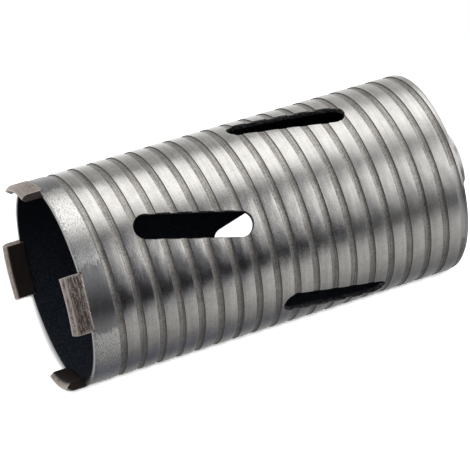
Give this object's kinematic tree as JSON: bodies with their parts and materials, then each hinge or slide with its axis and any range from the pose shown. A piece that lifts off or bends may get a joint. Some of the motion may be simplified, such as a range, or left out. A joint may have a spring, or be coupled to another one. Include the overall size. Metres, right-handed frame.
{
  "type": "diamond core bit",
  "caption": "Dry diamond core bit: slotted steel tube with a spiral groove, crowned cutting segments on its rim and a welded back plate with a threaded hub.",
  "frame": {"origin": "on the axis, in the plane that the cutting segments' crowns touch", "axes": "+Z along the axis, from the cutting segments to the hub; +X through the middle of segment_1"},
  "size_m": [0.082, 0.082, 0.1775],
  "materials": {
    "barrel_steel": "turned and brushed, matt grey-brown in the groove, dark inside",
    "plate_steel": "turned, satin",
    "hub_steel": "rough turned",
    "weld_metal": "rippled weld bead, satin",
    "sintered_metal": "pitted sintered metal with diamond grit"
  },
  "bodies": {
    "root": {"barrel": "barrel_steel", "back_plate": "plate_steel", "plate_weld": "weld_metal", "hub": "hub_steel", "hub_weld": "weld_metal", "segment_1": "sintered_metal", "segment_2": "sintered_metal", "segment_3": "sintered_metal", "segment_4": "sintered_metal"}
  },
  "joints": []
}
